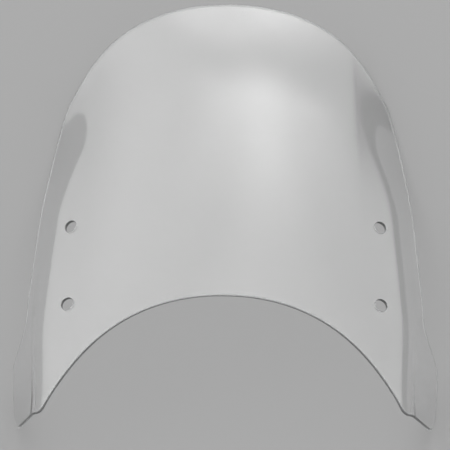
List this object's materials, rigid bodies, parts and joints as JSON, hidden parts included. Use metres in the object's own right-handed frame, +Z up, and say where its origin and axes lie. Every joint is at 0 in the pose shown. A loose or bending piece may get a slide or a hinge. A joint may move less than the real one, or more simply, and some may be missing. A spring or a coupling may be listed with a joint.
{
  "type": "motorcycle windshield screen",
  "caption": "Clear domed motorcycle screen of thin bent acrylic, with an arched lower cut-out, folded side flanks ending in tabs, and fixing holes.",
  "frame": {"origin": "middle of the footprint, on the surface that the screen lies on with its crown up", "axes": "+Z up, square to that surface; +Y from the arched cut-out towards the top edge; +X across the screen"},
  "size_m": [0.4024, 0.4308, 0.1257],
  "materials": {
    "clear_acrylic": "polished clear"
  },
  "bodies": {
    "root": {"screen_panel": "clear_acrylic"}
  },
  "joints": []
}
